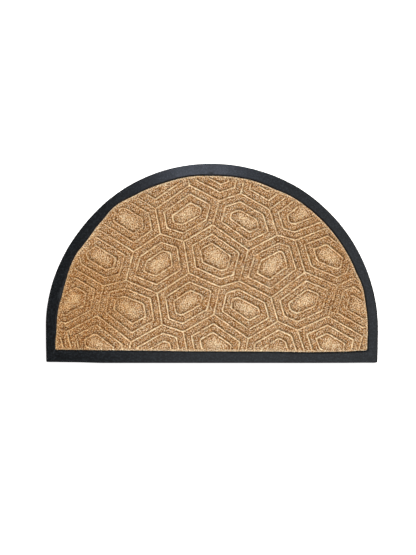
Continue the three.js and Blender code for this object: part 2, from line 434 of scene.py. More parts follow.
@dataclass(frozen=True)
class PressedPile:
    """Polypropylene pile, needled from mixed fibres and pressed with a hot tool.

    The fibres are tan, brown and cream, so the surface is mottled. Pressing lays them flat and pale in the
    grooves, and the middle panels, pressed least, show their pale tips; the panels are paler toward their
    middles, so their darker rims are painted shade. Groove walls that face the key light's side get a
    painted highlight, and the walls across and the grooves' shoulders get painted shade.
    """

    # The darkest tone also colours the painted shade, and cream also colours the pale mark, painted
    # highlight included
    dark: str = "#61391a"
    brown: str = "#8d5f33"
    tan: str = "#b38554"
    light: str = "#d0a97a"
    cream: str = "#e8dcba"
    # Each tone's place between the darkest and the palest clump, on the bands and on the middle panels
    band_stops: tuple[float, ...] = (0.0, 0.28, 0.55, 0.8, 1.0)
    # The panels are paler fibres, and their share rises toward each middle, so the darker rim by the groove
    # is painted shade
    panel_stops: tuple[float, ...] = (0.0, 0.08, 0.26, 0.5, 0.85)
    # Real fibres are 0.1 mm thick; clumps of them are drawn, as coarse as shows from a step away
    clump: float = 1.7 * MM
    clump_height: float = 0.4 * MM
    clump_strength: float = 0.7
    curl: Grain = Grain(5.1 * MM)
    curl_reach: float = 3.4 * MM
    fine: Grain = Grain(1.1 * MM, 3.0, 0.7)
    blotch: Grain = Grain(14 * MM, 4.0, 0.6)
    blotch_spread: float = 0.1
    roughness: float = 0.9
    gloss: float = 0.2
    sheen: float = 0.1

    def material(self) -> bpy.types.Material:
        """Make the finish.

        Returns:
            The material.
        """
        made, tree, shader = new_material("pressed_heather_pile")
        place = add_node(tree, "TexCoord", "Object")
        curl = add_node(tree, "TexNoise", "Color", self.curl.inputs(place))
        sums = {0: curl, 1: (self.curl_reach,) * 3, 2: place}
        bent = add_node(tree, "VectorMath", "Vector", sums, operation="MULTIPLY_ADD")
        clumps = add_node(tree, "TexVoronoi", "Color", {"Vector": bent, "Scale": 1 / self.clump})
        shade = add_node(tree, "SeparateColor", "Red", {"Color": clumps})
        fine = add_node(tree, "TexNoise", "Fac", self.fine.inputs(place))
        blotch = add_node(tree, "TexNoise", "Fac", self.blotch.inputs(place))
        panel, painted_shade, pale = (
            add_node(tree, "Attribute", "Fac", attribute_name=name) for name in ("panel", "painted_shade", "pale")
        )
        tone = self._ramp(tree, shade, self.band_stops)
        # Paler panel tones by the panel share, dark brown by the painted shade mark, and cream by the pale
        # mark, which holds painted highlight as well as pale fibres
        for share, colour in (
            (panel, self._ramp(tree, shade, self.panel_stops)),
            (painted_shade, linear(self.dark)),
            (pale, linear(self.cream)),
        ):
            tone = add_node(tree, "MixRGB", "Color", {"Fac": share, "Color1": tone, "Color2": colour})
        between = clumps.node.outputs["Distance"]
        height = add_node(tree, "Math", "Value", {0: fine, 1: between}, operation="ADD")
        relief = {"Height": height, "Distance": self.clump_height, "Strength": self.clump_strength}
        surface = {
            "Base Color": weathered(tree, tone, blotch, self.blotch_spread),
            "Normal": add_node(tree, "Bump", "Normal", relief),
            "Roughness": self.roughness,
            "Specular IOR Level": self.gloss,
            "Sheen Weight": self.sheen,
        }
        set_inputs(tree, shader, surface)
        return made

    def _ramp(
        self, tree: bpy.types.NodeTree, value: bpy.types.NodeSocket, stops: tuple[float, ...]
    ) -> bpy.types.NodeSocket:
        """Colour a value by the fibres' five tones.

        Args:
            tree: The material's node tree.
            value: The value from 0 to 1.
            stops: The place of each tone, from the darkest.

        Returns:
            The colour's socket.
        """
        colour = add_node(tree, "ValToRGB", "Color", {"Fac": value})
        elements = colour.node.color_ramp.elements
        tones = (self.dark, self.brown, self.tan, self.light, self.cream)
        while len(elements) < len(tones):
            elements.new(0.5)
        for element, stop, tone in zip(elements, stops, tones):
            element.position = stop
            element.color = linear(tone)
        return colour


@dataclass
class RubberTray:
    """The moulded tray: a thin floor with a flat raised border round it."""

    outline: Outline
    finish: MouldedRubber = field(default_factory=MouldedRubber)
    floor_top: float = 2.5 * MM
    slope: float = 3.5 * MM
    slope_foot: float = 5.0 * MM
    clearance: float = 0.36 * MM
    edge_round: float = 1.5 * MM
    edge_steps: int = 4
    crease_round: float = 0.6 * MM
    crease_steps: int = 2
    # The top of the border has loops at these shares of its width
    top_loops: tuple[float, ...] = (0.35, 0.6)
    first_inset: float = 1 * MM
    unevenness: float = 0.1 * MM
    wave: float = 40 * MM
    wave_height: float = 0.3
    smooth_angle: float = 35.0

    def build(self) -> bpy.types.Object:
        """Model the tray and dress it.

        Returns:
            The tray.
        """
        border = self.outline.nominal_border
        _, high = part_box(TRAY_NODE)
        tray = self._plate()
        bpy.ops.object.mode_set(mode="EDIT")
        bpy.ops.mesh.select_all(action="SELECT")
        bpy.ops.mesh.extrude_region_move(TRANSFORM_OT_translate={"value": (0, 0, high.z)})
        for inwards in (*(share * border for share in self.top_loops), border - self.slope):
            self._inset_to(tray, inwards, high.z)
        self._inset_to(tray, border - self.clearance, self.slope_foot)
        rise = self.floor_top - self.slope_foot
        bpy.ops.mesh.extrude_region_move(TRANSFORM_OT_translate={"value": (0, 0, rise)})
        self._round_edge(tray, 0.0, high.z, self.edge_round, self.edge_steps)
        self._round_edge(tray, border - self.slope, high.z, self.crease_round, self.crease_steps)
        bpy.ops.object.mode_set(mode="OBJECT")
        self._make_uneven(tray, high.z)
        bpy.ops.object.shade_smooth_by_angle(angle=math.radians(self.smooth_angle))
        tray.data.materials.append(self.finish.material())
        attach(tray, "root")
        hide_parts(TRAY_NODE)
        return tray

    def _plate(self) -> bpy.types.Object:
        """Lay a flat plate with the mat's outline.

        Returns:
            The plate, whose vertices know their number round the outline.
        """
        bpy.ops.object.select_all(action="DESELECT")
        bpy.ops.mesh.primitive_circle_add(vertices=len(self.outline.outer), radius=1.0, fill_type="NGON")
        plate = bpy.context.object
        plate.name = "moulded_tray"
        plate.data.name = plate.name
        station = plate.data.attributes.new("station", "INT", "POINT")
        for index, (x, y) in enumerate(self.outline.outer):
            plate.data.vertices[index].co = (x, y, 0.0)
            station.data[index].value = index
        return plate

    def _inset_to(self, tray: bpy.types.Object, inwards: float, height: float) -> None:
        """Inset the selected face, and lay its new loop a distance in from the outer edge.

        Args:
            tray: The tray, in edit mode.
            inwards: The distance, on the nominal border's scale.
            height: The loop's height.
        """
        bpy.ops.mesh.inset(thickness=self.first_inset)
        shape = bmesh.from_edit_mesh(tray.data)
        station = shape.verts.layers.int["station"]
        loop = self.outline.inwards(inwards)
        for vertex in (v for v in shape.verts if v.select):
            neighbours = (edge.other_vert(vertex) for edge in vertex.link_edges)
            vertex[station] = next(other for other in neighbours if not other.select)[station]
            vertex.co = (*loop[vertex[station]], height)
        bmesh.update_edit_mesh(tray.data)

    def _round_edge(
        self, tray: bpy.types.Object, inwards: float, height: float, size: float, steps: int
    ) -> None:
        """Round the edge that runs round the tray at a place.

        Args:
            tray: The tray, in edit mode.
            inwards: The edge's distance in from the outer edge.
            height: The edge's height.
            size: The width of the round.
            steps: The number of faces across it.
        """
        bpy.ops.mesh.select_all(action="DESELECT")
        shape = bmesh.from_edit_mesh(tray.data)
        station = shape.verts.layers.int["station"]
        loop = self.outline.inwards(inwards)
        on_edge = {
            vertex
            for vertex in shape.verts
            if (vertex.co - Vector((*loop[vertex[station]], height))).length < NEAR
        }
        for edge in shape.edges:
            edge.select = all(vertex in on_edge for vertex in edge.verts)
        shape.select_flush_mode()
        bmesh.update_edit_mesh(tray.data)
        bpy.ops.mesh.bevel(offset=size, segments=steps, affect="EDGES")

    def _make_uneven(self, tray: bpy.types.Object, height: float) -> None:
        """Give the top of the border the slight waves of a thin moulding.

        Args:
            tray: The tray.
            height: The height of its top.
        """
        for vertex in tray.data.vertices:
            if vertex.co.z > height - NEAR:
                spot = Vector((vertex.co.x, vertex.co.y, self.wave_height)) / self.wave
                vertex.co.z -= self.unevenness * abs(noise.noise(spot))


class Placing(Enum):
    """How a hexagon of the repeat lies: its flip along X and Y, and its slide as a share of the repeat."""

    STRAIGHT = (1, 1, 0.0)
    HALF_TURN = (-1, -1, 0.0)
    FLIPPED_ACROSS = (-1, 1, 0.5)
    FLIPPED_UP = (1, -1, 0.5)


@dataclass(frozen=True)
class HandWave:
    """A shallow wave that puts the hand-cut tool's corners off their true places, in millimetres."""

    axis: int
    along_x: float
    along_y: float
    swing: float
    start_degrees: float


@dataclass(frozen=True)
class Tortoiseshell:
    """The pressed pattern, in millimetres: a repeat of long hexagons, each with two more grooves inside."""

    across: float = 259.7
    up: float = 197.7
    centre: tuple[float, float] = (-88.8, 153.5)
    top_corner: tuple[float, float] = (38.9, 27.7)
    side_corner: tuple[float, float] = (107.3, -7.5)
    rings: tuple[float, ...] = (0.0, 17.3, 34.2)
    repeats_each_way: int = 3
    waves: tuple[HandWave, ...] = (
        HandWave(0, 0.08, -0.03, 3.0, 165),
        HandWave(0, 0.0425, 0.015, 2.4, 141),
        HandWave(1, 0.0075, 0.035, 3.8, -42),
        HandWave(1, 0.02, -0.045, 3.5, -6),
    )

    def hexagons(self) -> list[np.ndarray]:
        """Lay out every hexagon of the repeat.

        Returns:
            Each one's corners, counter-clockwise.
        """
        found = []
        reach = range(-self.repeats_each_way, self.repeats_each_way + 1)
        for column in reach:
            for row in reach:
                found.extend(self._copy(placing, column, row) for placing in Placing)
        return found

    def _first(self) -> np.ndarray:
        """Work out the hexagon beside the repeat's centre.

        Returns:
            Its six corners, seen from that centre.
        """
        half = np.array([self.across, self.up]) / 2
        top = np.array(self.top_corner)
        side = np.array(self.side_corner)
        low_left = (side[0] - half[0], -half[1] - side[1])
        lowest = (half[0] - side[0], side[1] - half[1])
        low_right = (half[0] - top[0], top[1] - half[1])
        return np.array([top, -top, low_left, lowest, low_right, side])

    def _copy(self, placing: Placing, column: int, row: int) -> np.ndarray:
        """Return one copy of the hexagon, with its corners where the hand-cut tool has them.

        Args:
            placing: How the copy lies.
            column: The repeat's number across.
            row: The repeat's number down.

        Returns:
            The six corners.
        """
        flip_x, flip_y, slide = placing.value
        moved_by = ((column + slide) * self.across, -(row + slide) * self.up)
        corners = np.array(self.centre) + moved_by + self._first() * (flip_x, flip_y)
        moved = corners.copy()
        for wave in self.waves:
            phase = wave.along_x * corners[:, 0] + wave.along_y * corners[:, 1]
            moved[:, wave.axis] += wave.swing * np.sin(phase + math.radians(wave.start_degrees))
        return moved[::-1] if flip_x * flip_y < 0 else moved


@dataclass(frozen=True)
class WornPatch:
    """A trodden stretch: its place and radius in metres, how much relief it keeps and how brown it is."""

    x: float
    y: float
    radius: float
    keeps: float
    browned: float = 0.0


@dataclass(frozen=True)
class RimRow:
    """How wide the plain rim of the pile is, and how pale its edge, at an angle round the arc's centre."""

    degrees: float
    wide: float
    pale: float


@dataclass
class PilePanel:
    """The pile: one thick sheet with pressed grooves, crowned middle panels and a rounded cut edge."""

    outline: Outline
    pattern: Tortoiseshell = field(default_factory=Tortoiseshell)
    finish: PressedPile = field(default_factory=PressedPile)
    step_mm: float = 2.6
    # Hexagons with their middles up to this far past the mat are laid out
    margin: float = 80 * MM
    # A point of the sheet this near the cut counts as on it, so that no sliver is left
    snap: float = 0.3 * MM
    groove_rows_mm: tuple[float, ...] = (0.0, 0.9, 1.9, 3.0)
    groove_flat_mm: float = 0.4
    groove_reach_mm: float = 2.9
    groove_depth: float = 1.7 * MM
    # The shoulder starts and ends at these shares of the groove's reach
    shoulder_from: float = 0.5
    shoulder_gone: float = 1.6
    band_rows: int = 3
    panel_rows: int = 6
    # Rows up to this far in have sharp corners, and no round takes up more than its share of a side
    sharp_to_mm: float = 4.0
    corner_round_mm: float = 4.5
    corner_share: float = 0.45
    smallest_round_mm: float = 0.1
    crown: float = 0.7 * MM
    crown_full: float = 0.75
    crown_from: float = 4 * MM
    crown_free: float = 12 * MM
    edge_round: float = 1.4 * MM
    edge_steps: int = 4
    wander_mm: float = 0.35
    wander_grain_mm: float = 18.0
    lump: float = 0.13 * MM
    lump_grain: float = 4.5 * MM
    lumps_pressed_flat: float = 0.6
    swell: float = 0.25 * MM
    swell_grain: float = 35 * MM
    fade: float = 4.0 * MM
    # Groove walls that face this turn, near the key light's, get a painted highlight, and walls that face
    # away get painted shade
    painted_light_turn: float = 62.0
    painted_light_full: float = 0.3
    wall_painted_highlight: float = 0.2
    wall_painted_shade: float = 0.2
    wall_from: float = 0.02
    # The shoulders beside each groove get painted shade, as if the pile tips shaded them
    shoulder_painted_shade: float = 0.35
    floor_pale: float = 0.34
    floor_from: float = 0.5
    floor_lit: float = 0.5
    ragged: float = 2.0
    ragged_most: float = 2.0
    ragged_grain: float = 5.5 * MM
    edge_pale: float = 0.35
    rim_full: float = 1.5 * MM
    rim_gone: float = 6 * MM
    worn_core: float = 0.4
    # The rim is paler fibres along the cut edge; from -20 and 200 degrees on, toward the bottom edge, it is
    # paler still, which is painted light on the rounded edge that faces away from the key light
    rim: tuple[RimRow, ...] = (
        RimRow(-20, 4 * MM, 0.5),
        RimRow(-8, 4 * MM, 0.3),
        RimRow(0, 5 * MM, 0.25),
        RimRow(60, 5 * MM, 0.25),
        RimRow(90, 4 * MM, 0.25),
        RimRow(112, 8 * MM, 0.3),
        RimRow(150, 10 * MM, 0.3),
        RimRow(180, 8 * MM, 0.1),
        RimRow(188, 5 * MM, 0.2),
        RimRow(200, 5 * MM, 0.45),
    )
    worn: tuple[WornPatch, ...] = (
        WornPatch(-0.28, -0.08, 0.15, 0.78, browned=1.0),
        WornPatch(-0.34, -0.17, 0.12, 1.0, browned=1.0),
        WornPatch(-0.14, 0.01, 0.18, 1.0, browned=0.35),
        WornPatch(0.31, -0.07, 0.11, 0.8, browned=0.4),
        WornPatch(0.27, 0.07, 0.14, 1.0, browned=0.4),
        WornPatch(-0.22, 0.12, 0.12, 0.7),
    )

    def build(self) -> bpy.types.Object:
        """Model the pile and dress it.

        Returns:
            The pile panel.
        """
        points, faces, marks = self._pattern_sheet()
        points, faces, marks = self._cut_to_outline(points, faces, marks)
        piece = self._closed_mesh(points, faces, marks)
        piece.data.materials.append(self.finish.material())
        return piece

    def declare(self, piece: bpy.types.Object) -> None:
        """Attach the pile to the root body, and hide the solid that it stands for.

        Args:
            piece: The pile.
        """
        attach(piece, "root")
        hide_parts(PILE_NODE)

    def _rows(self) -> list[tuple[float, float, float]]:
        """List the rows of points round a hexagon.

        Returns:
            For each row, how far it lies in from the hexagon's sides, in millimetres, how far down the
            groove is pressed there, and how much of its shoulder is there, both from 0 to 1.
        """
        reach = self.groove_rows_mm[-1]
        rows = []
        for number, ring in enumerate(self.pattern.rings):
            if number:
                rows += [ring - step for step in self.groove_rows_mm[:0:-1]]
            rows += [ring + step for step in self.groove_rows_mm]
            if number + 1 < len(self.pattern.rings):
                free = self.pattern.rings[number + 1] - ring - 2 * reach
                gaps = self.band_rows + 1
                rows += [ring + reach + free * gap / gaps for gap in range(1, gaps)]
        nearest = np.array([min(abs(row - ring) for ring in self.pattern.rings) for row in rows])
        pressed = 1 - smooth(nearest, self.groove_flat_mm, self.groove_reach_mm)
        rising = smooth(nearest, self.shoulder_from * reach, reach)
        shoulder = rising * (1 - smooth(nearest, reach, self.shoulder_gone * reach))
        return list(zip(rows, pressed, shoulder))

    def _loop(self, corners: np.ndarray, inset: float) -> np.ndarray:
        """Return the points of one row round a hexagon, with its corners rounded more the further in.

        Args:
            corners: The hexagon's corners, in millimetres.
            inset: How far in the row lies.

        Returns:
            The row's points.
        """
        after = np.roll(corners, -1, axis=0)
        lengths = np.linalg.norm(after - corners, axis=1)
        along = (after - corners) / lengths[:, None]
        start = corners + np.stack([-along[:, 1], along[:, 0]], axis=1) * inset
        before_start, before_along = np.roll(start, 1, axis=0), np.roll(along, 1, axis=0)
        gap = start - before_start
        crossing = before_along[:, 0] * along[:, 1] - before_along[:, 1] * along[:, 0]
        reach = (gap[:, 0] * along[:, 1] - gap[:, 1] * along[:, 0]) / crossing
        inner = before_start + before_along * reach[:, None]
        inner_after = np.roll(inner, -1, axis=0)
        inner_lengths = np.linalg.norm(inner_after - inner, axis=1)
        share_in = smooth(np.array([inset]), self.sharp_to_mm, self.pattern.rings[-1])[0]
        shorter = np.minimum(inner_lengths, np.roll(inner_lengths, 1))
        rounds = np.minimum(self.corner_round_mm * share_in, self.corner_share * shorter)
        pieces = []
        for side in range(len(corners)):
            count = max(2, round(lengths[side] / self.step_mm))
            share = np.arange(count)[:, None] / count
            line = inner[side] + (inner_after[side] - inner[side]) * share
            for end, away, way in ((side, share, 1), ((side + 1) % len(corners), 1 - share, -1)):
                away = away * inner_lengths[side]
                line = self._rounded(line, inner[end], along[end - 1], along[end], rounds[end], away, way)
            pieces.append(line)
        return np.concatenate(pieces)

    def _rounded(
        self,
        points: np.ndarray,
        corner: np.ndarray,
        arriving: np.ndarray,
        leaving: np.ndarray,
        size: float,
        distance: np.ndarray,
        after: int,
    ) -> np.ndarray:
        """Move the points near a corner onto a curve that cuts it.

        Args:
            points: The points of one side.
            corner: The corner.
            arriving: The direction of the side before it.
            leaving: The direction of the side after it.
            size: How far from the corner the curve starts.
            distance: Each point's distance from the corner.
            after: 1 where the side comes after the corner, -1 where it comes before.

        Returns:
            The points, on the curve where they are near.
        """
        if size < self.smallest_round_mm:
            return points
        start = corner - arriving * size
        end = corner + leaving * size
        t = 0.5 + after * 0.5 * np.minimum(distance / size, 1.0)
        curve = (1 - t) ** 2 * start + 2 * t * (1 - t) * corner + t**2 * end
        return np.where(distance < size, curve, points)

    def _pattern_sheet(self) -> tuple[np.ndarray, Faces, np.ndarray]:
        """Lay out all hexagons as one flat sheet.

        Returns:
            The points in metres, the faces, and each point's marks: groove, shoulder and panel share.
        """
        rows = self._rows()
        all_points, all_faces, all_marks = [], [], []
        total = 0
        low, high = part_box(TRAY_NODE)
        for corners in self.pattern.hexagons():
            middle = corners.mean(axis=0) * MM
            if not all(low[axis] - self.margin < middle[axis] < high[axis] + self.margin for axis in (0, 1)):
                continue
            loops = [self._loop(corners, inset) for inset, _, _ in rows]
            marks = [np.full((len(loops[0]), 3), (pressed, shoulder, 0.0)) for _, pressed, shoulder in rows]
            edge = loops[-1]
            heart = edge.mean(axis=0)
            for row in range(1, self.panel_rows):
                share = row / self.panel_rows
                loops.append(edge + (heart - edge) * share)
                marks.append(np.full((len(edge), 3), (0.0, 0.0, share)))
            count = len(edge)
            here = np.arange(count)
            after = (here + 1) % count
            for row in range(len(loops) - 1):
                first = total + row * count
                inner = first + count
                quads = np.stack([first + here, first + after, inner + after, inner + here], axis=1)
                all_faces.extend(quads.tolist())
            last = total + (len(loops) - 1) * count
            heart_index = total + len(loops) * count
            pairs = zip(here.tolist(), after.tolist())
            all_faces.extend([last + start, last + end, heart_index] for start, end in pairs)
            all_points.append(np.concatenate([*loops, heart[None]]))
            all_marks.append(np.concatenate([*marks, [[0.0, 0.0, 1.0]]]))
            total += len(loops) * count + 1
        points = np.concatenate(all_points)
        marks = np.concatenate(all_marks)
        _, first, merged = np.unique(points.round(3), axis=0, return_index=True, return_inverse=True)
        merged = merged.ravel()
        points = points[first]
        layers = (Layer.WANDER_ACROSS, Layer.WANDER_UP)
        shift = np.stack([noise_at(points, self.wander_grain_mm, layer) for layer in layers], axis=1)
        faces = [[int(merged[index]) for index in face] for face in all_faces]
        return (points + self.wander_mm * shift) * MM, faces, marks[first]

    def _cut_to_outline(
        self, points: np.ndarray, faces: Faces, marks: np.ndarray
    ) -> tuple[np.ndarray, Faces, np.ndarray]:
        """Cut the flat sheet a little inside the pile's edge.

        Args:
            points: The sheet's points.
            faces: Its faces.
            marks: The points' marks.

        Returns:
            The points, faces and marks that are left.
        """
        inside = self.outline.from_pile_edge(points)[0] - self.edge_round
        inside[abs(inside) < self.snap] = 0.0
        new_points, new_marks, cuts = list(points), list(marks), {}
        kept = []
        for face in faces:
            sides = [inside[index] for index in face]
            if min(sides) >= 0:
                kept.append(face)
                continue
            if max(sides) <= 0:
                continue
            shape = []
            for here, after in zip(face, face[1:] + face[:1]):
                if inside[here] >= 0:
                    shape.append(here)
                if inside[here] * inside[after] < 0:
                    first, second = sorted((here, after))
                    if (first, second) not in cuts:
                        share = inside[first] / (inside[first] - inside[second])
                        cuts[first, second] = len(new_points)
                        for new, old in ((new_points, points), (new_marks, marks)):
                            new.append(old[first] + (old[second] - old[first]) * share)
                    shape.append(cuts[first, second])
            if len(shape) > 2:
                kept.append(shape)
        used = np.unique([index for face in kept for index in face])
        number = np.full(len(new_points), -1)
        number[used] = np.arange(len(used))
        faces = [[int(number[index]) for index in face] for face in kept]
        return np.array(new_points)[used], faces, np.array(new_marks)[used]

    def _closed_mesh(self, points: np.ndarray, faces: Faces, marks: np.ndarray) -> bpy.types.Object:
        """Give the flat sheet its relief, its rounded edge and its underside.

        Args:
            points: The sheet's points.
            faces: Its faces.
            marks: The points' marks.

        Returns:
            The closed piece.
        """
        low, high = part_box(PILE_NODE)
        distance, nearest = self.outline.from_pile_edge(points)
        shares, heights = self._relief(points, marks, distance, high.z - self.crown)
        rim = self._edge_loop(faces)
        count = len(rim)
        layers_xy, layers_z, flat_xy = [points], [heights], [points]
        outwards = nearest[rim] - points[rim]
        outwards /= np.linalg.norm(outwards, axis=1)[:, None]
        for step in range(1, self.edge_steps + 1):
            turn = math.pi / 2 * step / self.edge_steps
            share = 1 - math.sin(turn)
            layers_xy.append(nearest[rim] + (points[rim] - nearest[rim]) * share)
            layers_z.append(heights[rim] - self.edge_round * (1 - math.cos(turn)))
            flat_xy.append(points[rim] + outwards * self.edge_round * turn)
        layers_xy.append(nearest[rim])
        layers_z.append(np.full(count, low.z))
        flat_xy.append(flat_xy[-1] + outwards * (layers_z[-2] - low.z)[:, None])
        flat = len(points)
        around = self.edge_steps + 1
        starts = [flat + row * count for row in range(around)]
        rings = [rim] + [list(range(start, start + count)) for start in starts]
        for upper, lower in zip(rings, rings[1:]):
            for here in range(count):
                after = (here + 1) % count
                faces.append([upper[after], upper[here], lower[here], lower[after]])
        faces.append(rings[-1][::-1])
        places = np.column_stack([np.concatenate(layers_xy), np.concatenate(layers_z)])
        piece = new_piece("pressed_pile", places, faces)
        for name, values in shares.items():
            onwards = np.tile(values[rim], around) if name in ("worn", "rim") else np.zeros(around * count)
            shares[name] = np.concatenate([values, onwards])
        shares["edge"] = np.concatenate([np.zeros(flat), np.ones(around * count)])
        self._mark(piece.data, places[:, :2], shares)
        lay_map(piece.data, np.concatenate(flat_xy), under=count)
        return piece

    def _mark(self, mesh: bpy.types.Mesh, places: np.ndarray, shares: dict[str, np.ndarray]) -> None:
        """Write down where the pile is painted paler or darker.

        A groove's wall that faces the key light's side gets a painted highlight, and the wall across and the
        groove's shoulders get painted shade; the groove floors, the cut edge and the rim are paler fibres,
        and the rim toward the bottom edge holds painted light as well. Walking on the mat has roughed the
        grooves up unevenly.

        Args:
            mesh: The closed mesh.
            places: Each vertex's place.
            shares: Each vertex's share of the groove, its shoulder, the middle panel, the worn patches, the
                pale rim and the cut edge, by name.
        """
        turn = math.radians(self.painted_light_turn)
        normals = read_all(mesh.vertex_normals, "vector", 3)
        facing_painted_light = normals[:, :2] @ np.array([math.cos(turn), math.sin(turn)])
        walls = np.where(shares["pressed"] > self.wall_from, 1.0, 0.0)
        floor = smooth(shares["pressed"], self.floor_from, 1.0)
        rough_floor, rough_shoulder = (
            np.clip(1 + self.ragged * noise_at(places, self.ragged_grain, layer), 0, self.ragged_most)
            for layer in (Layer.ROUGH_FLOOR, Layer.ROUGH_SHOULDER)
        )
        # Painted highlight on the walls that face the key light's side, and paler pressed fibres on the
        # groove floors
        pale = walls * self.wall_painted_highlight * smooth(facing_painted_light, 0, self.painted_light_full) + self.floor_pale * floor * rough_floor
        # Paler cut edge and rim; toward the bottom edge the rim holds painted light as well
        pale = np.maximum.reduce([pale, self.edge_pale * shares["edge"], shares["rim"]])
        # Painted shade on the walls that face away from the key light's side, and on the groove shoulders
        painted_shade = walls * self.wall_painted_shade * smooth(-facing_painted_light, 0, self.painted_light_full) * (1 - self.floor_lit * floor)
        painted_shade = np.maximum(painted_shade, self.shoulder_painted_shade * shares["shoulder"] * rough_shoulder)
        marks = {
            "pressed": shares["pressed"],
            "pale": np.clip(pale, 0, 1),
            "painted_shade": np.clip(painted_shade, 0, 1),
            "panel": shares["panel"],
            "worn": shares["worn"],
        }
        for name, values in marks.items():
            write_mark(mesh, name, values)

    def _relief(
        self, points: np.ndarray, marks: np.ndarray, distance: np.ndarray, top: float
    ) -> tuple[dict[str, np.ndarray], np.ndarray]:
        """Work out how the surface rises and falls.

        Args:
            points: The sheet's points.
            marks: Their marks.
            distance: How far inside the pile's edge they lie.
            top: The height of the bands.

        Returns:
            Each point's share of the groove, its shoulder, the middle panel, the worn patches and the pale
            rim, by name, and the heights.
        """
        degrees = np.degrees(self.outline.turn_of(points))
        degrees = np.where(degrees < -90, degrees + 360, degrees)
        places = [row.degrees for row in self.rim]
        wide = np.interp(degrees, places, [row.wide for row in self.rim])
        rim = np.interp(degrees, places, [row.pale for row in self.rim])
        rim *= 1 - smooth(distance, self.rim_full, self.rim_gone)
        share = smooth(distance - wide + self.fade / 2, 0.0, self.fade)
        worn = np.zeros(len(points))
        kept = np.ones(len(points))
        for patch in self.worn:
            away = np.hypot(points[:, 0] - patch.x, points[:, 1] - patch.y)
            faint = 1 - smooth(away, self.worn_core * patch.radius, patch.radius)
            kept *= 1 - (1 - patch.keeps) * faint
            worn = np.maximum(worn, patch.browned * faint)
        share *= kept
        pressed = marks[:, 0] * share
        free = smooth(distance, self.crown_from, self.crown_free)
        # Rises from each panel's rim to its middle: it raises the crown, and its paler colour leaves the rim
        # darker as painted shade
        panel = smooth(marks[:, 2], 0.0, self.crown_full) * free * kept
        lumps = self.lump * noise_at(points, self.lump_grain, Layer.LUMPS)
        lumps *= 1 - self.lumps_pressed_flat * pressed
        swells = self.swell * noise_at(points, self.swell_grain, Layer.SWELLS)
        heights = top - self.groove_depth * pressed + self.crown * panel + lumps + swells
        shoulder = marks[:, 1] * share
        shares = {"pressed": pressed, "shoulder": shoulder, "panel": panel, "worn": worn, "rim": rim}
        return shares, heights

    def _edge_loop(self, faces: Faces) -> list[int]:
        """Follow the open edge of the sheet.

        Args:
            faces: The sheet's faces, counter-clockwise.

        Returns:
            The points of the edge, counter-clockwise.
        """
        following = {}
        for face in faces:
            for side in zip(face, face[1:] + face[:1]):
                if not following.pop(side[::-1], False):
                    following[side] = True
        onward = dict(following.keys())
        start = next(iter(onward))
        loop = [start]
        while onward[loop[-1]] != start:
            loop.append(onward[loop[-1]])
        LOG.info("the pile's edge has %d points of %d", len(loop), len(onward))
        return loop


@dataclass(frozen=True)
class FibreTone:
    """One colour of the mixed fibres, and the share of all fibres that is as dark or darker."""

    name: str
    colour: str
    up_to: float
    grain: Grain = Grain(3 * MM)
    spread: float = 0.15
    roughness: float = 0.7
    gloss: float = 0.25

    def material(self) -> bpy.types.Material:
        """Make the finish of a drawn polypropylene fibre: even, faintly glossy, a little lighter or darker.

        Returns:
            The material.
        """
        made, tree, shader = new_material(f"{self.name}_fibre")
        place = add_node(tree, "TexCoord", "Object")
        along = add_node(tree, "TexNoise", "Fac", self.grain.inputs(place))
        colour = weathered(tree, linear(self.colour), along, self.spread)
        surface = {"Base Color": colour, "Roughness": self.roughness, "Specular IOR Level": self.gloss}
        set_inputs(tree, shader, surface)
        return made


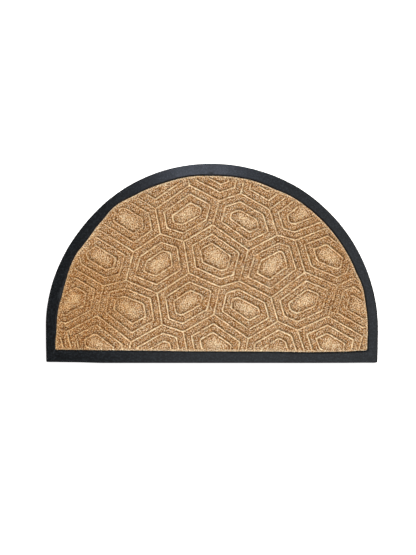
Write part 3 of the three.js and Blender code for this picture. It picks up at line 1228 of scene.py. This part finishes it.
@dataclass
class LooseFibres:
    """The fibres that lie loose on the pressed felt, each a short bent spindle, one piece for each tone."""

    pile: bpy.types.Object
    tones: tuple[FibreTone, ...] = (
        FibreTone("dark", "#341a09", 0.21),
        FibreTone("brown", "#7d4e24", 0.41),
        FibreTone("tan", "#b78650", 0.57),
        FibreTone("light", "#dcb686", 0.76),
        FibreTone("pale", "#f9ebce", 1.0),
    )
    count: int = 126_000
    seed: int = 11
    # A real fibre is 0.1 mm thick; each spindle stands for a bundle, as coarse as shows from a step away
    width: float = 0.8 * MM
    shortest: float = 1.6 * MM
    longest: float = 3.4 * MM
    rise: float = 0.35 * MM
    sunk: float = 0.12 * MM
    bend: float = 0.25
    # Pressing melts the fibres into the grooves, so few lie loose there
    kept_in_grooves: float = 0.3
    # Needling mixes the colours evenly over the mat and leaves small tufts of one colour this far apart
    tuft: float = 4.6 * MM
    cells_per_tuft: int = 4
    tuft_spread: float = 0.35
    tuft_share: float = 0.75
    # Fibres are drawn paler on the middle panels and by the pile's pale mark, and darker by its painted
    # shade; the pale mark holds painted highlight as well as paler fibres
    panel_shift: float = 0.25
    pale_shift: float = 0.8
    painted_shade_shift: float = 0.8
    # Below 1, so that every fibre falls in a tone
    palest: float = 0.999

    def build(self) -> list[bpy.types.Object]:
        """Strew the fibres over the pile and dress them.

        Returns:
            One piece for each tone.
        """
        chance = np.random.default_rng(self.seed)
        centres, normals, marks = self._strew(chance)
        drawn = self._tones_drawn(chance, centres)
        # The fibres take on the pile's painted highlight and painted shade, as well as its paler panels,
        # groove floors and rim
        paler = self.panel_shift * marks["panel"] + self.pale_shift * marks["pale"]
        shift = paler - self.painted_shade_shift * marks["painted_shade"]
        drawn = np.clip(drawn + shift, 0, self.palest)
        corners = self._spindles(chance, centres, normals)
        pieces = []
        darker = 0.0
        for tone in self.tones:
            chosen = (drawn >= darker) & (drawn < tone.up_to)
            darker = tone.up_to
            pieces.append(self._piece(tone, corners[chosen], marks["worn"][chosen]))
        return pieces

    def _strew(self, chance: np.random.Generator) -> tuple[np.ndarray, np.ndarray, dict[str, np.ndarray]]:
        """Choose places spread evenly over the top of the pile.

        Args:
            chance: The random draws.

        Returns:
            The places, the normals there, and the pile's marks there, by name.
        """
        mesh = self.pile.data
        mesh.calc_loop_triangles()
        places = read_all(mesh.vertices, "co", 3)
        normals = read_all(mesh.vertex_normals, "vector", 3)
        triangles = read_all(mesh.loop_triangles, "vertices", 3, np.int32)
        first, second, third = (places[triangles[:, corner]] for corner in range(3))
        area = np.cross(second - first, third - first)[:, 2].clip(0)
        low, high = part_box(PILE_NODE)
        area[first[:, 2] < (low.z + high.z) / 2] = 0
        area *= 1 - (1 - self.kept_in_grooves) * self._values("pressed")[triangles].mean(axis=1)
        picked = triangles[chance.choice(len(triangles), self.count, p=area / area.sum())]
        shares = chance.dirichlet((1, 1, 1), self.count)
        names = ("panel", "pale", "painted_shade", "worn")
        marks = {name: (self._values(name)[picked] * shares).sum(axis=1) for name in names}
        there = (places[picked] * shares[..., None]).sum(axis=1)
        upright = (normals[picked] * shares[..., None]).sum(axis=1)
        return there, upright / np.linalg.norm(upright, axis=1)[:, None], marks

    def _tones_drawn(self, chance: np.random.Generator, centres: np.ndarray) -> np.ndarray:
        """Draw how pale each fibre is, alike within a tuft and even over many tufts.

        Args:
            chance: The random draws.
            centres: The fibres' middles.

        Returns:
            A value from 0 to 1 for each fibre, all values equally often.
        """
        low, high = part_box(PILE_NODE)
        cell = self.tuft / self.cells_per_tuft
        across, up = (int(length / cell) + 2 for length in (high.x - low.x, high.y - low.y))
        per_tuft = self.tuft * np.hypot(np.fft.fftfreq(across, cell)[:, None], np.fft.fftfreq(up, cell))
        kept = np.exp(-(((per_tuft - 1) / self.tuft_spread) ** 2))
        tufts = np.fft.ifft2(np.fft.fft2(chance.random((across, up)) - 0.5) * kept).real
        tufts = tufts.ravel().argsort().argsort().reshape(tufts.shape) / tufts.size
        column, row = ((centres[:, :2] - (low.x, low.y)) / cell).astype(int).T
        mixed = self.tuft_share * tufts[column, row] + (1 - self.tuft_share) * chance.random(len(centres))
        return mixed.argsort().argsort() / len(mixed)

    def _values(self, name: str) -> np.ndarray:
        """Return a mark of the pile, vertex by vertex."""
        return read_all(self.pile.data.attributes[name].data, "value")

    def _spindles(
        self, chance: np.random.Generator, centres: np.ndarray, normals: np.ndarray
    ) -> np.ndarray:
        """Draw the five corners of each spindle: its two ends, and a three-sided section at its bent middle.

        Args:
            chance: The random draws.
            centres: The fibres' middles.
            normals: The surface's normals there.

        Returns:
            The corners, an array of fibres by corners by axes.
        """
        turn = chance.random(self.count) * math.tau
        along = np.stack([np.cos(turn), np.sin(turn), np.zeros(self.count)], axis=1)
        along -= normals * (along * normals).sum(axis=1)[:, None]
        along /= np.linalg.norm(along, axis=1)[:, None]
        across = np.cross(normals, along)
        half = chance.uniform(self.shortest, self.longest, self.count)[:, None] / 2
        rise = chance.uniform(0, self.rise, self.count)[:, None]
        bend = chance.uniform(-self.bend, self.bend, self.count)[:, None]
        middle = centres + across * half * bend + normals * rise
        sideways = across * self.width / 2
        corners = [
            centres - along * half - normals * self.sunk,
            middle + sideways,
            middle - sideways,
            middle + normals * self.width / 2,
            centres + along * half - normals * self.sunk,
        ]
        return np.stack(corners, axis=1)

    def _piece(self, tone: FibreTone, corners: np.ndarray, worn: np.ndarray) -> bpy.types.Object:
        """Make one tone's fibres one piece.

        Args:
            tone: The tone.
            corners: The corners of its fibres.
            worn: How worn the pile is at each.

        Returns:
            The piece.
        """
        sides = np.array([(0, 3, 1), (0, 2, 3), (0, 1, 2), (4, 1, 3), (4, 3, 2), (4, 2, 1)])
        per_fibre = corners.shape[1]
        faces = (np.arange(len(corners)) * per_fibre)[:, None, None] + sides
        points = corners.reshape(-1, 3)
        piece = new_piece(f"{tone.name}_fibres", points, faces.reshape(-1, 3).tolist())
        write_mark(piece.data, "worn", np.repeat(worn, per_fibre))
        lay_map(piece.data, points[:, :2])
        piece.data.materials.append(tone.material())
        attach(piece, "root")
        return piece


@dataclass(frozen=True)
class Sheen:
    """A soft panel that only gloss mirrors, hung over the mat: its place, size, colour and power."""

    name: str
    place: tuple[float, float, float]
    size: tuple[float, float]
    colour: str
    power: float


@dataclass(frozen=True)
class Studio:
    """The pale floor and walls, the soft studio light and the camera straight above."""

    floor_half: float = 30.0
    walls_radius: float = 18.0
    floor_drop: float = 0.05 * MM
    floor_colour: str = "#f4f4f4"
    floor_glow: float = 0.8
    floor_roughness: float = 0.9
    white: str = "#ffffff"
    key_colour: str = "#fffaf6"
    key_strength: float = 4.75
    key_turn: float = 55.0
    key_height: float = 38.0
    key_softness: float = 16.0
    fill_strength: float = 1.0
    fill_softness: float = 150.0
    world_strength: float = 0.08
    sheens: tuple[Sheen, ...] = (
        Sheen("right_panel", (0.26, -0.13, 0.6), (0.95, 0.7), "#f2f7ff", 2.0),
        Sheen("top_panel", (-0.025, 0.27, 0.42), (0.1, 0.1), "#dce6ff", 0.5),
    )
    lens: float = 60.0
    sensor: float = 36.0
    image_width: int = 416
    image_height: int = 555
    mat_centre_px: tuple[float, float] = (211.97, 263.33)
    mat_width_px: float = 332.4

    def build(self) -> None:
        """Set up the floor, the lights and the camera."""
        self._floor()
        self._lights()
        self._camera()
        bpy.context.scene.view_settings.view_transform = "Standard"

    def _floor(self) -> None:
        """Lay the floor just under the mat."""
        bpy.ops.object.select_all(action="DESELECT")
        bpy.ops.mesh.primitive_plane_add(size=2 * self.floor_half, location=(0, 0, -self.floor_drop))
        floor = bpy.context.object
        floor.name = "floor"
        made, tree, shader = new_material("pale_floor")
        surface = {
            "Base Color": linear(self.floor_colour),
            "Roughness": self.floor_roughness,
            "Emission Color": linear(self.white),
            "Emission Strength": self.floor_glow,
        }
        set_inputs(tree, shader, surface)
        floor.data.materials.append(made)
        floor.visible_glossy = False
        self._walls()

    def _walls(self) -> None:
        """Close the view with a pale round wall, which takes no part in the light."""
        bpy.ops.object.select_all(action="DESELECT")
        bpy.ops.mesh.primitive_uv_sphere_add(segments=32, ring_count=16, radius=self.walls_radius)
        walls = bpy.context.object
        walls.name = "walls"
        made, tree, _ = new_material("pale_walls")
        glow = add_node(tree, "Emission", "Emission", {"Color": linear(self.white)})
        set_inputs(tree, tree.nodes["Material Output"], {"Surface": glow})
        walls.data.materials.append(made)
        walls.visible_diffuse = False
        walls.visible_glossy = False
        walls.visible_shadow = False

    def _lights(self) -> None:
        """Add the key light and the soft light from all round."""
        turn = math.radians(self.key_turn)
        height = math.radians(self.key_height)
        flat = math.cos(height)
        towards = Vector((math.cos(turn) * flat, math.sin(turn) * flat, math.sin(height)))
        self._far_light("key", towards, self.key_strength, self.key_softness)
        self._far_light("fill", Vector((0, 0, 1)), self.fill_strength, self.fill_softness)
        for sheen in self.sheens:
            self._hang(sheen)
        world = bpy.data.worlds.new("studio")
        world.use_nodes = True
        glow = {"Color": linear(self.white), "Strength": self.world_strength}
        set_inputs(world.node_tree, world.node_tree.nodes["Background"], glow)
        bpy.context.scene.world = world

    def _far_light(self, name: str, towards: Vector, strength: float, softness: float) -> None:
        """Add a light that is too far away to fall off, and that gloss doesn't mirror.

        Args:
            name: The light's name.
            towards: The direction to it.
            strength: Its strength.
            softness: The angle that it fills, in degrees.
        """
        data = bpy.data.lights.new(name, "SUN")
        data.energy = strength
        data.color = linear(self.key_colour)[:3]
        data.angle = math.radians(softness)
        light = place_in_scene(name, data)
        light.rotation_euler = towards.to_track_quat("Z", "Y").to_euler()
        light.visible_glossy = False

    def _hang(self, sheen: Sheen) -> None:
        """Hang a panel that shines straight down and only shows in gloss.

        Args:
            sheen: The panel.
        """
        data = bpy.data.lights.new(sheen.name, "AREA")
        data.shape = "RECTANGLE"
        data.size, data.size_y = sheen.size
        data.energy = sheen.power
        data.color = linear(sheen.colour)[:3]
        panel = place_in_scene(sheen.name, data)
        panel.location = sheen.place
        panel.visible_camera = False
        panel.visible_diffuse = False

    def _camera(self) -> None:
        """Stand the camera where the mat has its place and size in the picture."""
        low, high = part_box(TRAY_NODE)
        metres_per_px = (high.x - low.x) / self.mat_width_px
        data = bpy.data.cameras.new("camera")
        data.lens = self.lens
        data.sensor_width = self.sensor
        camera = place_in_scene("camera", data)
        right = (self.image_width / 2 - self.mat_centre_px[0]) * metres_per_px
        up = (self.mat_centre_px[1] - self.image_height / 2) * metres_per_px
        above = self.lens / self.sensor * self.image_height * metres_per_px
        camera.location = (right, up, high.z + above)
        bpy.context.scene.camera = camera


def main() -> None:
    """Build the doormat and its studio, and log each piece's triangles."""
    logging.basicConfig(level=logging.INFO, format="%(message)s")
    Studio().build()
    outline = Outline()
    tray = RubberTray(outline).build()
    panel = PilePanel(outline)
    pile = panel.build()
    fibres = LooseFibres(pile).build()
    panel.declare(pile)
    for piece in (tray, pile, *fibres):
        piece.data.calc_loop_triangles()
        LOG.info("%s: %d triangles", piece.name, len(piece.data.loop_triangles))


if __name__ == "__main__":
    main()
